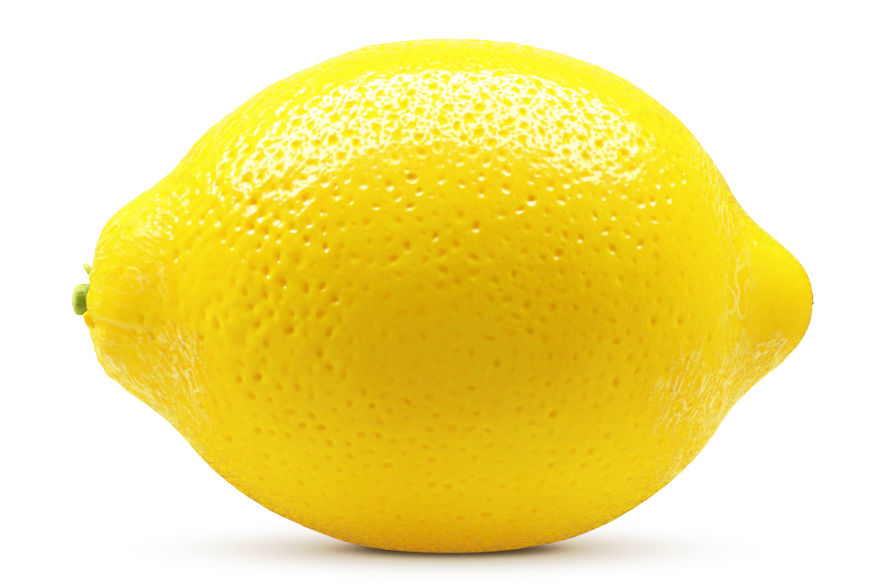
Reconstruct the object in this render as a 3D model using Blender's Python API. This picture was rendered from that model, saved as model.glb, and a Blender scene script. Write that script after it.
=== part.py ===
"""A whole lemon, as picked with a short stub of stem, lying on a small flat spot.

Frame: metres, +Z up. +X runs along the long axis, from the stem end (-X) to the
nipple end (+X). Z = 0 is the plane of the flat spot the fruit rests on.

Pieces: fruit (peel and pulp, grown as one), calyx (the green button with its five
sepals), stem (the cut pedicel stub) and style_scar (the dry remnant on the nipple).

All sizes below are in millimetres.
"""

import math

import bmesh
import bpy
import numpy as np

MM = 0.001

# ---- body: a slightly squared ellipsoid about the body centre -----------------
BODY_HALF_LENGTH = 35.63
BODY_R_TOP = 29.83
BODY_R_BOTTOM = 30.18
BODY_R_SIDE = 29.40
BODY_POWER = 2.08
BODY_SHIFT_X = 0.19  # body centre, along X, from the frame's working origin
FLAT_DEPTH = 0.32  # how much of the belly the resting spot takes off

# ---- nipple (+X): a second, slimmer form blended into the body ----------------
NIPPLE_REACH = 42.14
NIPPLE_R_TOP = 10.98
NIPPLE_R_BOTTOM = 12.67
NIPPLE_POWER = 2.48
NIPPLE_DROP = -0.70  # its axis runs down by this much at the tip
NIPPLE_BLEND = 8.75

# ---- neck (-X): the blunt shoulder that carries the stem ----------------------
NECK_REACH = 40.25
NECK_R_TOP = 12.40
NECK_R_BOTTOM = 11.95
NECK_POWER_AXIAL = 3.55
NECK_POWER_RADIAL = 4.88
NECK_DROP = -0.44
NECK_BLEND = 12.99

# ---- soft swellings and hollows: (polar angle from +X, azimuth about X, width, height)
# azimuth 90 is the top, 270 the belly, 180 the front (-Y)
SWELLINGS = (
    (121.5, 90, 6.0, -0.31),
    (108.0, 90, 7.0, 0.19),
    (49.0, 90, 21.0, 0.27),
    (110.5, 270, 9.5, 0.23),
    (59.5, 270, 16.0, 0.43),
    (149.5, 270, 31.0, 0.50),
    (148.0, 90, 5.0, 0.45),
    (75.0, 200, 22.0, 0.20),
    (140.0, 20, 20.0, -0.35),
    (60.0, 330, 18.0, -0.30),
)

# ---- the puckered collar of peel round the stem -------------------------------
STEM_Z = -0.62  # stem axis, up from the body centre's height
BASIN_RADIUS = 3.0
BASIN_DEPTH = 1.35
COLLAR_RADIUS = 3.9
COLLAR_WIDTH = 1.25
COLLAR_HEIGHT = 0.40
# lobes of the collar: (y, z) from the stem axis, width, height
COLLAR_LOBES = (
    (-3.6, 0.3, 1.5, 0.55),
    (-2.0, -2.80, 0.95, 0.80),
    (2.2, -3.2, 1.3, 0.45),
    (3.6, 1.2, 1.5, 0.35),
    (-1.0, 4.4, 1.1, -0.35),
)
# furrows running from the collar down the neck:
# (angle at the collar, angle at the far end, depth, reach along the peel, width)
# angle 0 is the front (-Y), 90 the top
FURROWS = (
    (-42, -14, 0.62, 9.5, 0.75),
    (24, 38, 0.34, 8.5, 0.90),
    (66, 74, 0.28, 7.0, 0.85),
    (112, 104, 0.36, 9.0, 0.90),
    (158, 150, 0.34, 8.0, 0.80),
    (204, 214, 0.42, 9.0, 0.90),
    (248, 258, 0.36, 8.0, 0.80),
    (284, 300, 0.30, 7.5, 0.75),
)

# ---- the pit at the tip of the nipple -----------------------------------------
PIT_RADIUS = 1.05
PIT_DEPTH = 0.42
SCAR_Z = -0.62

# ---- stem, calyx, style scar --------------------------------------------------
STEM_RADIUS = 1.85
STEM_END_X = -44.10  # the cut face, from the working origin
STEM_EDGE = 0.42  # rounding of the cut edge
GAP = 0.28  # clearance between touching pieces
CALYX_THICK = 0.55
CALYX_HUB = 2.55
SEPALS = 5
SEPAL_TURN = 84.0  # azimuth of the first sepal, 90 is the top
# how far each sepal reaches from the stem axis, and how far its tip curls off
SEPAL_REACH = (4.15, 3.15, 2.95, 3.05, 3.25)
SEPAL_CURL = (0.65, 0.25, 0.15, 0.20, 0.30)
SCAR_RADIUS = 0.70
SCAR_PROUD = 0.30

# ---- mesh density -------------------------------------------------------------
RINGS = 66
SIDES = 66


def smooth_max(a, b, width):
    """The larger of two radii, blended over the given width."""
    h = np.clip(0.5 + 0.5 * (a - b) / width, 0.0, 1.0)
    return b + (a - b) * h + width * h * (1.0 - h)


def form_radius(c, s, reach, radius, power_axial, power_radial):
    """Distance from the centre to |x/reach|^pa + |r/radius|^pr = 1 along (c, s)."""
    t = ((c / reach) ** 2 + (s / radius) ** 2) ** -0.5
    for _ in range(24):
        u = np.abs(t * c / reach) ** power_axial
        v = np.abs(t * s / radius) ** power_radial
        slope = (power_axial * u + power_radial * v) / t
        t = np.maximum(t - (u + v - 1.0) / np.maximum(slope, 1e-9), 1.0)
    return t


def body_radius(c, s, up):
    """The plain fruit: body, nipple and neck. c, s: cosine and sine of the polar
    angle from +X. up: sine of the azimuth, +1 at the top and -1 at the belly."""
    mean = 0.5 * (BODY_R_TOP + BODY_R_BOTTOM)
    lean = 0.5 * (BODY_R_TOP - BODY_R_BOTTOM)
    across = BODY_R_SIDE + (mean - BODY_R_SIDE) * up**2 + lean * up
    body = form_radius(c, s, BODY_HALF_LENGTH, across, BODY_POWER, BODY_POWER)

    across = 0.5 * (NIPPLE_R_TOP + NIPPLE_R_BOTTOM) + 0.5 * up * (
        NIPPLE_R_TOP - NIPPLE_R_BOTTOM
    )
    nipple = form_radius(c, s, NIPPLE_REACH, across, NIPPLE_POWER, NIPPLE_POWER)

    across = 0.5 * (NECK_R_TOP + NECK_R_BOTTOM) + 0.5 * up * (
        NECK_R_TOP - NECK_R_BOTTOM
    )
    neck = form_radius(
        c, s, NECK_REACH, across, NECK_POWER_AXIAL, NECK_POWER_RADIAL
    )
    return np.where(
        c > 0.0,
        smooth_max(nipple, body, NIPPLE_BLEND),
        smooth_max(neck, body, NECK_BLEND),
    )


def swell(direction):
    """The low, broad unevenness of a grown fruit."""
    out = np.zeros(direction.shape[:-1])
    for polar, azimuth, width, height in SWELLINGS:
        p, a = math.radians(polar), math.radians(azimuth)
        axis = np.array(
            (math.cos(p), math.sin(p) * math.cos(a), math.sin(p) * math.sin(a))
        )
        angle = np.degrees(np.arccos(np.clip(direction @ axis, -1.0, 1.0)))
        out += height * np.exp(-((angle / width) ** 2))
    azimuth = np.arctan2(direction[..., 2], direction[..., 1])
    round_ = np.hypot(direction[..., 1], direction[..., 2])
    out += 0.10 * np.cos(3.0 * azimuth + 0.6) * np.cos(azimuth) ** 2 * round_**2
    return out


def wrap(angle):
    return (angle + math.pi) % (2.0 * math.pi) - math.pi


def stem_end_relief(y, z, gate):
    """Basin, collar and furrows round the stem, as a height along the radius.
    y, z: from the stem axis, in millimetres. gate: 1 on the -X half, else 0."""
    rho = np.hypot(y, z)
    turn = np.arctan2(z, -y)
    out = -BASIN_DEPTH * np.exp(-((rho / BASIN_RADIUS) ** 6))
    out += COLLAR_HEIGHT * np.exp(-(((rho - COLLAR_RADIUS) / COLLAR_WIDTH) ** 2))
    for ly, lz, width, height in COLLAR_LOBES:
        out += height * np.exp(-((y - ly) ** 2 + (z - lz) ** 2) / width**2)
    for start, end, depth, reach, width in FURROWS:
        along = np.clip((rho - 3.0) / reach, 0.0, 1.6)
        centre = np.radians(start + (end - start) * np.minimum(along * 1.6, 1.0))
        off = rho * np.sin(np.clip(wrap(turn - centre), -1.5, 1.5))
        fade = np.exp(-((along / 0.75) ** 2)) * (1.0 - np.exp(-((rho / 2.6) ** 6)))
        out -= depth * fade * np.exp(-((off / (width * (1.0 + 0.7 * along))) ** 2))
    return out * gate


def nipple_end_relief(y, z, gate):
    """The small pit that holds the dry style remnant."""
    rho = np.hypot(y, z - SCAR_Z)
    return -PIT_DEPTH * np.exp(-((rho / PIT_RADIUS) ** 4)) * gate


def fruit_point(direction):
    """Surface points for unit directions from the body centre, in millimetres,
    before the flat spot is cut."""
    c = direction[..., 0]
    s = np.hypot(direction[..., 1], direction[..., 2])
    up = direction[..., 2] / np.maximum(s, 1e-9)
    radius = body_radius(c, np.maximum(s, 1e-6), up) + swell(direction)
    y, z = radius * direction[..., 1], radius * direction[..., 2]
    radius = radius + stem_end_relief(y, z - STEM_Z + NECK_DROP, (c < 0.0) * 1.0)
    radius = radius + nipple_end_relief(y, z + NIPPLE_DROP, (c > 0.0) * 1.0)
    point = direction * radius[..., None]
    x = point[..., 0]
    droop = NIPPLE_DROP * np.clip(x / 42.0, 0.0, 1.0) ** 2
    droop += NECK_DROP * np.clip(-x / 42.0, 0.0, 1.0) ** 2
    point[..., 2] += droop
    point[..., 0] += BODY_SHIFT_X
    return point


def end_surface_x(y, z, side):
    """X of the fruit's surface over (y, z) near an end. side: -1 stem, +1 nipple."""
    x = np.full(np.shape(y), side * 41.5)
    droop = NIPPLE_DROP if side > 0 else NECK_DROP
    for _ in range(12):
        d = np.stack((x - BODY_SHIFT_X, y + 0.0 * x, z - droop + 0.0 * x), axis=-1)
        d = d / np.linalg.norm(d, axis=-1, keepdims=True)
        x = fruit_point(d)[..., 0]
    return x


def lathe(rings, first_pole, last_pole):
    """A closed body from rings of points, all with the same count, and two poles.
    The rings run from -X's pole to +X's pole, each turning from +Y to +Z."""
    bm = bmesh.new()
    rows = [[bm.verts.new([v * MM for v in p]) for p in ring] for ring in rings]
    a = bm.verts.new([v * MM for v in first_pole])
    b = bm.verts.new([v * MM for v in last_pole])
    n = len(rows[0])
    for k in range(n):
        m = (k + 1) % n
        bm.faces.new((a, rows[0][m], rows[0][k]))
        bm.faces.new((b, rows[-1][k], rows[-1][m]))
        for low, high in zip(rows, rows[1:]):
            bm.faces.new((low[k], low[m], high[m], high[k]))
    bmesh.ops.recalc_face_normals(bm, faces=bm.faces)
    return bm


def material(name, colour, roughness, metallic=0.0):
    mat = bpy.data.materials.new(name)
    mat.use_nodes = True
    shader = mat.node_tree.nodes["Principled BSDF"]
    shader.inputs["Base Color"].default_value = (*colour, 1.0)
    shader.inputs["Roughness"].default_value = roughness
    shader.inputs["Metallic"].default_value = metallic
    return mat


def place(name, bm, mat, root, sharp=40.0):
    mesh = bpy.data.meshes.new(name)
    bm.to_mesh(mesh)
    bm.free()
    mesh.materials.append(mat)
    mesh.shade_smooth()
    mesh.set_sharp_from_angle(angle=math.radians(sharp))
    obj = bpy.data.objects.new(name, mesh)
    bpy.context.scene.collection.objects.link(obj)
    obj.parent = root
    return obj


def polar_angles(count, ease=0.86):
    """Ring angles from -X to +X, close together at both ends."""
    for i in range(1, count):
        t = (i / count) ** 1.22
        yield math.pi * (1.0 - (t - ease * math.sin(2.0 * math.pi * t) / (2.0 * math.pi)))


def build_fruit(root):
    azimuth = np.arange(SIDES) * (2.0 * math.pi / SIDES)
    rings = []
    for polar in polar_angles(RINGS):
        d = np.stack(
            (
                np.full(SIDES, math.cos(polar)),
                math.sin(polar) * np.cos(azimuth),
                math.sin(polar) * np.sin(azimuth),
            ),
            axis=-1,
        )
        rings.append(fruit_point(d).tolist())
    poles = fruit_point(np.array([[-1.0, 0.0, 0.0], [1.0, 0.0, 0.0]])).tolist()
    bm = lathe(rings, poles[0], poles[1])

    # the resting spot: a flat cut across the lowest part of the belly
    lowest = min(v.co.z for v in bm.verts)
    level = lowest + FLAT_DEPTH * MM
    cut = bmesh.ops.bisect_plane(
        bm,
        geom=bm.verts[:] + bm.edges[:] + bm.faces[:],
        plane_co=(0.0, 0.0, level),
        plane_no=(0.0, 0.0, -1.0),
        clear_outer=True,
    )
    rim = [e for e in cut["geom_cut"] if isinstance(e, bmesh.types.BMEdge)]
    bmesh.ops.contextual_create(bm, geom=rim)
    bmesh.ops.recalc_face_normals(bm, faces=bm.faces)
    obj = place("fruit", bm, material("lemon_peel", (0.93, 0.62, 0.012), 0.36), root)
    for face in obj.data.polygons:
        if max(abs(obj.data.vertices[i].co.z - level) for i in face.vertices) < 1e-6:
            face.use_smooth = False
    return obj, level


def sepal_outline(azimuth):
    """Reach and curl of the calyx edge at each azimuth about the stem."""
    reach = np.full(azimuth.shape, CALYX_HUB)
    curl = np.zeros(azimuth.shape)
    for i in range(SEPALS):
        centre = math.radians(SEPAL_TURN + 360.0 * i / SEPALS)
        off = np.abs(wrap(azimuth - centre))
        lobe = np.clip(1.0 - off / math.radians(30.0), 0.0, 1.0) ** 0.8
        reach = np.maximum(reach, CALYX_HUB + (SEPAL_REACH[i] - CALYX_HUB) * lobe)
        curl = np.maximum(curl, SEPAL_CURL[i] * lobe)
    return reach, curl


def build_calyx(root):
    """A button of green tissue lying in the basin, with a seat for the stem."""
    n = 60
    azimuth = np.arange(n) * (2.0 * math.pi / n)
    reach, curl = sepal_outline(azimuth)

    def ring(radius, height):
        y, z = radius * np.cos(azimuth), STEM_Z + radius * np.sin(azimuth)
        x = end_surface_x(y, z, -1) - height
        return np.stack((x, y, z), axis=-1).tolist()

    seat = STEM_RADIUS + 0.22
    low = GAP + 0.0 * azimuth
    floor = float(end_surface_x(np.array([0.0]), np.array([STEM_Z]), -1)[0])
    bottom = [
        ring(0.9 + 0.0 * azimuth, low),
        ring(1.9 + 0.0 * azimuth, low),
        ring(0.5 * (1.9 + reach), low + 0.25 * curl**2),
        ring(0.97 * reach, low + 0.10 + 0.85 * curl),
    ]
    top = [
        ring(reach, low + 0.22 + curl),
        ring(0.93 * reach, low + 0.42 + 0.90 * curl),
        ring(0.5 * (CALYX_HUB + reach), low + CALYX_THICK + 0.40 * curl),
        ring(seat + 0.16 + 0.0 * azimuth, low + CALYX_THICK + 0.15),
        ring(seat + 0.0 * azimuth, low + CALYX_THICK + 0.10),
    ]
    seat_x = floor - GAP - 0.30
    inner = []
    for radius in (seat, 1.1):
        y, z = radius * np.cos(azimuth), STEM_Z + radius * np.sin(azimuth)
        inner.append(np.stack((np.full(n, seat_x), y, z), axis=-1).tolist())
    rings = (bottom + top + inner)[::-1]
    bm = lathe(rings, (seat_x, 0.0, STEM_Z), (floor - GAP, 0.0, STEM_Z))
    place("calyx", bm, material("calyx_green", (0.27, 0.42, 0.04), 0.55), root)
    return seat_x


def build_stem(root, seat_x):
    """The cut stub of the pedicel, a little thicker where it meets the calyx."""
    n = 36
    azimuth = np.arange(n) * (2.0 * math.pi / n)
    start = seat_x - GAP
    ribs = 1.0 + 0.018 * np.cos(7.0 * azimuth + 0.4) + 0.012 * np.cos(3.0 * azimuth)

    def ring(x, scale):
        r = STEM_RADIUS * scale * ribs
        return np.stack(
            (np.full(n, x), r * np.cos(azimuth), STEM_Z + r * np.sin(azimuth)),
            axis=-1,
        ).tolist()

    rings = []
    for i in range(6):  # the rounded cut edge
        a = 0.5 * math.pi * i / 5
        inset = STEM_EDGE * (1.0 - math.sin(a)) / STEM_RADIUS
        rings.append(ring(STEM_END_X + STEM_EDGE * (1.0 - math.cos(a)), 1.0 - inset))
    span = start - (STEM_END_X + STEM_EDGE)
    for i in range(1, 6):
        t = i / 5
        rings.append(ring(STEM_END_X + STEM_EDGE + span * t, 1.0 + 0.03 * t * t))
    bm = lathe(
        rings, (STEM_END_X + 0.10, 0.0, STEM_Z), (start, 0.0, STEM_Z)
    )
    place("stem", bm, material("stem_green", (0.40, 0.50, 0.06), 0.60), root)


def build_scar(root):
    """The dry brown flake left by the style, in the pit at the nipple's tip."""
    n = 24
    azimuth = np.arange(n) * (2.0 * math.pi / n)
    uneven = 1.0 + 0.10 * np.cos(3.0 * azimuth + 0.8) + 0.06 * np.cos(5.0 * azimuth)

    def ring(scale, height):
        r = SCAR_RADIUS * scale * uneven
        y, z = 0.8 * r * np.cos(azimuth), SCAR_Z + r * np.sin(azimuth)
        x = end_surface_x(y, z, +1) + height
        return np.stack((x, y, z), axis=-1).tolist()

    rings = [ring(0.55, GAP), ring(0.95, GAP), ring(1.0, GAP + 0.10)]
    rings += [ring(0.88, GAP + 0.8 * SCAR_PROUD), ring(0.5, GAP + SCAR_PROUD)]
    tip = float(end_surface_x(np.array([0.0]), np.array([SCAR_Z]), +1)[0])
    bm = lathe(
        rings, (tip + GAP, 0.0, SCAR_Z), (tip + GAP + 0.9 * SCAR_PROUD, 0.0, SCAR_Z)
    )
    place("style_scar", bm, material("scar_brown", (0.20, 0.11, 0.035), 0.75), root)


def main():
    for obj in list(bpy.data.objects):
        bpy.data.objects.remove(obj, do_unlink=True)

    root = bpy.data.objects.new("lemon", None)
    bpy.context.scene.collection.objects.link(root)

    _, level = build_fruit(root)
    seat_x = build_calyx(root)
    build_stem(root, seat_x)
    build_scar(root)

    # centre the whole on the origin, with the flat spot at Z = 0
    low, high = [1e9, 1e9], [-1e9, -1e9]
    for obj in root.children:
        for v in obj.data.vertices:
            for k in range(2):
                low[k] = min(low[k], v.co[k])
                high[k] = max(high[k], v.co[k])
    root.location = (-0.5 * (low[0] + high[0]), -0.5 * (low[1] + high[1]), -level)
    bpy.context.view_layer.update()


main()
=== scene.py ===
import math

import bpy
import numpy as np
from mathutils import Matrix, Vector, kdtree


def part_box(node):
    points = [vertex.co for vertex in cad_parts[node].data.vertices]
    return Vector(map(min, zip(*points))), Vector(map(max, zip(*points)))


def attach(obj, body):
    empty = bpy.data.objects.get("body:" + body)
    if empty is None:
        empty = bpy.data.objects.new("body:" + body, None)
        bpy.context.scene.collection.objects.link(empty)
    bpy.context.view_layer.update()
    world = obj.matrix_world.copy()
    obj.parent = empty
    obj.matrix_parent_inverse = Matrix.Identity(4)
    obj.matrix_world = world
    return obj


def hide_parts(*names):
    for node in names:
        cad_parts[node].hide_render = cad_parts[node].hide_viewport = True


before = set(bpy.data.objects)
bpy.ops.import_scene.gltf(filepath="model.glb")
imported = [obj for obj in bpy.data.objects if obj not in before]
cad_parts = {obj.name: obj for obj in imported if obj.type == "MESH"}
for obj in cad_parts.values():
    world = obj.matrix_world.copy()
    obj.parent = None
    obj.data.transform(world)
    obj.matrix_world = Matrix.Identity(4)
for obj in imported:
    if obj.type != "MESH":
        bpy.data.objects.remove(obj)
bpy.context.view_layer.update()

MM = 0.001
RNG = np.random.default_rng(20261120)

# =====================================================================
# The lemon's form, in millimetres, as the CAD has it
# =====================================================================
BODY_HALF_LENGTH = 35.63
BODY_R_TOP = 29.83
BODY_R_BOTTOM = 30.18
BODY_R_SIDE = 29.40
BODY_POWER = 2.08
BODY_SHIFT_X = 0.19

NIPPLE_REACH = 42.14
NIPPLE_R_TOP = 10.98
NIPPLE_R_BOTTOM = 12.67
NIPPLE_POWER = 2.48
NIPPLE_DROP = -0.70
NIPPLE_BLEND = 8.75

NECK_REACH = 40.25
NECK_R_TOP = 12.40
NECK_R_BOTTOM = 11.95
NECK_POWER_AXIAL = 3.55
NECK_POWER_RADIAL = 4.88
NECK_DROP = -0.44
NECK_BLEND = 12.99

SWELLINGS = (
    (121.5, 90, 6.0, -0.31),
    (108.0, 90, 7.0, 0.19),
    (49.0, 90, 21.0, 0.27),
    (110.5, 270, 9.5, 0.23),
    (59.5, 270, 16.0, 0.43),
    (149.5, 270, 31.0, 0.50),
    (148.0, 90, 5.0, 0.45),
    (75.0, 200, 22.0, 0.20),
    (140.0, 20, 20.0, -0.35),
    (60.0, 330, 18.0, -0.30),
)

STEM_Z = -0.62
CREASE_Z = (-2.1, -3.3)
KNOB = (-2.75, -1.95, 0.98, 1.20)
BASIN_RADIUS = 3.0
BASIN_DEPTH = 1.35
COLLAR_RADIUS = 3.9
COLLAR_WIDTH = 1.25
COLLAR_HEIGHT = 0.40
COLLAR_LOBES = (
    (-3.6, 0.9, 1.6, 0.40),
    (2.2, -3.2, 1.3, 0.45),
    (3.6, 1.2, 1.5, 0.35),
    (-1.0, 4.4, 1.1, -0.35),
)
FURROWS = (
    (-42, -14, 0.62, 9.5, 0.75),
    (24, 38, 0.34, 8.5, 0.90),
    (66, 74, 0.28, 7.0, 0.85),
    (112, 104, 0.36, 9.0, 0.90),
    (158, 150, 0.34, 8.0, 0.80),
    (204, 214, 0.42, 9.0, 0.90),
    (248, 258, 0.36, 8.0, 0.80),
    (284, 300, 0.30, 7.5, 0.75),
)
PIT_RADIUS = 1.05
PIT_DEPTH = 0.42
SCAR_Z = -0.62

STEM_RADIUS = 1.85
STEM_END_X = -44.10
STEM_EDGE = 0.70
GAP = 0.28
CALYX_THICK = 0.55
CALYX_HUB = 2.55
SEPALS = 5
SEPAL_TURN = 84.0
SEPAL_REACH = (4.20, 3.10, 2.62, 3.00, 3.20)
SEPAL_CURL = (0.34, 0.25, 0.10, 0.20, 0.30)
SCAR_RADIUS = 0.70
SCAR_PROUD = 0.30


def smooth_max(a, b, width):
    h = np.clip(0.5 + 0.5 * (a - b) / width, 0.0, 1.0)
    return b + (a - b) * h + width * h * (1.0 - h)


def form_radius(c, s, reach, radius, power_axial, power_radial):
    t = ((c / reach) ** 2 + (s / radius) ** 2) ** -0.5
    for _ in range(24):
        u = np.abs(t * c / reach) ** power_axial
        v = np.abs(t * s / radius) ** power_radial
        slope = (power_axial * u + power_radial * v) / t
        t = np.maximum(t - (u + v - 1.0) / np.maximum(slope, 1e-9), 1.0)
    return t


def body_radius(c, s, up):
    mean = 0.5 * (BODY_R_TOP + BODY_R_BOTTOM)
    lean = 0.5 * (BODY_R_TOP - BODY_R_BOTTOM)
    across = BODY_R_SIDE + (mean - BODY_R_SIDE) * up**2 + lean * up
    body = form_radius(c, s, BODY_HALF_LENGTH, across, BODY_POWER, BODY_POWER)
    across = 0.5 * (NIPPLE_R_TOP + NIPPLE_R_BOTTOM) + 0.5 * up * (
        NIPPLE_R_TOP - NIPPLE_R_BOTTOM
    )
    nipple = form_radius(c, s, NIPPLE_REACH, across, NIPPLE_POWER, NIPPLE_POWER)
    across = 0.5 * (NECK_R_TOP + NECK_R_BOTTOM) + 0.5 * up * (
        NECK_R_TOP - NECK_R_BOTTOM
    )
    neck = form_radius(c, s, NECK_REACH, across, NECK_POWER_AXIAL, NECK_POWER_RADIAL)
    return np.where(
        c > 0.0,
        smooth_max(nipple, body, NIPPLE_BLEND),
        smooth_max(neck, body, NECK_BLEND),
    )


def swell(direction):
    out = np.zeros(direction.shape[:-1])
    for polar, azimuth, width, height in SWELLINGS:
        p, a = math.radians(polar), math.radians(azimuth)
        axis = np.array(
            (math.cos(p), math.sin(p) * math.cos(a), math.sin(p) * math.sin(a))
        )
        angle = np.degrees(np.arccos(np.clip(direction @ axis, -1.0, 1.0)))
        out += height * np.exp(-((angle / width) ** 2))
    azimuth = np.arctan2(direction[..., 2], direction[..., 1])
    round_ = np.hypot(direction[..., 1], direction[..., 2])
    out += 0.10 * np.cos(3.0 * azimuth + 0.6) * np.cos(azimuth) ** 2 * round_**2
    return out


def wrap(angle):
    return (angle + math.pi) % (2.0 * math.pi) - math.pi


def stem_end_relief(y, z, gate):
    rho = np.hypot(y, z)
    turn = np.arctan2(z, -y)
    out = -BASIN_DEPTH * np.exp(-((rho / BASIN_RADIUS) ** 6))
    out += COLLAR_HEIGHT * np.exp(-(((rho - COLLAR_RADIUS) / COLLAR_WIDTH) ** 2))
    for ly, lz, width, height in COLLAR_LOBES:
        out += height * np.exp(-((y - ly) ** 2 + (z - lz) ** 2) / width**2)
    ly, lz, width, height = KNOB
    off = ((y - ly) ** 2 + (0.80 * (z - lz)) ** 2) / width**2
    out += height * np.clip(1.0 - off, 0.0, 1.0) ** 0.75
    out -= 0.45 * np.exp(-(((np.sqrt(off) - 1.15) / 0.22) ** 2))
    for start, end, depth, reach, width in FURROWS:
        along = np.clip((rho - 3.0) / reach, 0.0, 1.6)
        centre = np.radians(start + (end - start) * np.minimum(along * 1.6, 1.0))
        off = rho * np.sin(np.clip(wrap(turn - centre), -1.5, 1.5))
        fade = np.exp(-((along / 0.75) ** 2)) * (1.0 - np.exp(-((rho / 2.6) ** 6)))
        out -= depth * fade * np.exp(-((off / (width * (1.0 + 0.7 * along))) ** 2))
    return out * gate


def nipple_end_relief(y, z, gate):
    rho = np.hypot(y, z - SCAR_Z)
    return -PIT_DEPTH * np.exp(-((rho / PIT_RADIUS) ** 4)) * gate


def fruit_point(direction):
    c = direction[..., 0]
    s = np.hypot(direction[..., 1], direction[..., 2])
    up = direction[..., 2] / np.maximum(s, 1e-9)
    radius = body_radius(c, np.maximum(s, 1e-6), up) + swell(direction)
    y, z = radius * direction[..., 1], radius * direction[..., 2]
    radius = radius + stem_end_relief(y, z - STEM_Z + NECK_DROP, (c < 0.0) * 1.0)
    radius = radius + nipple_end_relief(y, z + NIPPLE_DROP, (c > 0.0) * 1.0)
    point = direction * radius[..., None]
    x = point[..., 0]
    droop = NIPPLE_DROP * np.clip(x / 42.0, 0.0, 1.0) ** 2
    droop += NECK_DROP * np.clip(-x / 42.0, 0.0, 1.0) ** 2
    point[..., 2] += droop
    point[..., 0] += BODY_SHIFT_X
    return point


def end_surface_x(y, z, side):
    x = np.full(np.shape(y), side * 41.5)
    droop = NIPPLE_DROP if side > 0 else NECK_DROP
    for _ in range(12):
        d = np.stack((x - BODY_SHIFT_X, y + 0.0 * x, z - droop + 0.0 * x), axis=-1)
        d = d / np.linalg.norm(d, axis=-1, keepdims=True)
        x = fruit_point(d)[..., 0]
    return x


# The CAD is centred on its box and stands on its flat spot. The stem's cut face and
# the stem's middle give the same shift here.
_stem_low, _stem_high = (np.array(v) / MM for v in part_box("stem"))
_fruit_low, _fruit_high = (np.array(v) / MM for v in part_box("fruit"))
SHIFT = np.array(
    (
        _stem_low[0] - STEM_END_X,
        0.0,
        0.0,
    )
)


# =====================================================================
# Noise on points, in numpy
# =====================================================================
_PERM = RNG.permutation(256)
_PERM = np.concatenate((_PERM, _PERM, _PERM))
_GRAD = RNG.normal(size=(256, 3))
_GRAD /= np.linalg.norm(_GRAD, axis=1, keepdims=True)


def noise(p, scale, seed=0.0):
    """Smooth gradient noise, about -0.7 to 0.7, with features of the given size."""
    scale = np.asarray(scale, dtype=float)
    q = p / scale + 37.3 + 11.7 * seed
    cell = np.floor(q).astype(np.int64)
    f = q - cell
    u = f * f * f * (f * (f * 6.0 - 15.0) + 10.0)
    out = 0.0
    for dx in (0, 1):
        wx = u[:, 0] if dx else 1.0 - u[:, 0]
        ix = _PERM[(cell[:, 0] + dx) & 255]
        for dy in (0, 1):
            wy = u[:, 1] if dy else 1.0 - u[:, 1]
            iy = _PERM[ix + ((cell[:, 1] + dy) & 255)]
            for dz in (0, 1):
                wz = u[:, 2] if dz else 1.0 - u[:, 2]
                g = _GRAD[_PERM[iy + ((cell[:, 2] + dz) & 255)]]
                dot = (
                    g[:, 0] * (f[:, 0] - dx)
                    + g[:, 1] * (f[:, 1] - dy)
                    + g[:, 2] * (f[:, 2] - dz)
                )
                out = out + wx * wy * wz * dot
    return out


def bump01(t):
    """1 at 0, falling smoothly to 0 at 1."""
    t = np.clip(t, 0.0, 1.0)
    return (1.0 - t * t) ** 2


def cone(t):
    """A pit's profile: a straight wall, rounded at the rim and at the bottom."""
    t = np.sqrt(t * t + 0.03)
    t = np.maximum(0.0, 1.04 - t)
    return t * t / (t + 0.07)


def smooth_step(x, low, high):
    t = np.clip((x - low) / (high - low), 0.0, 1.0)
    return t * t * (3.0 - 2.0 * t)


def cell_edges(points, spacing, width):
    """1 on the borders of random cells that fill the points' space, 0 inside them."""
    seeds = points[scatter(points, np.ones(len(points)), spacing, len(points) // 2)]
    tree = kdtree.KDTree(len(seeds))
    for i, p in enumerate(seeds.tolist()):
        tree.insert(p, i)
    tree.balance()
    gap = np.array([_gap(tree.find_n(p, 2)) for p in points.tolist()])
    return np.exp(-((gap / (width * spacing)) ** 2))


def _gap(found):
    return found[1][2] - found[0][2]


def gauss(x, width):
    return np.exp(-((x / width) ** 2))


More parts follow.
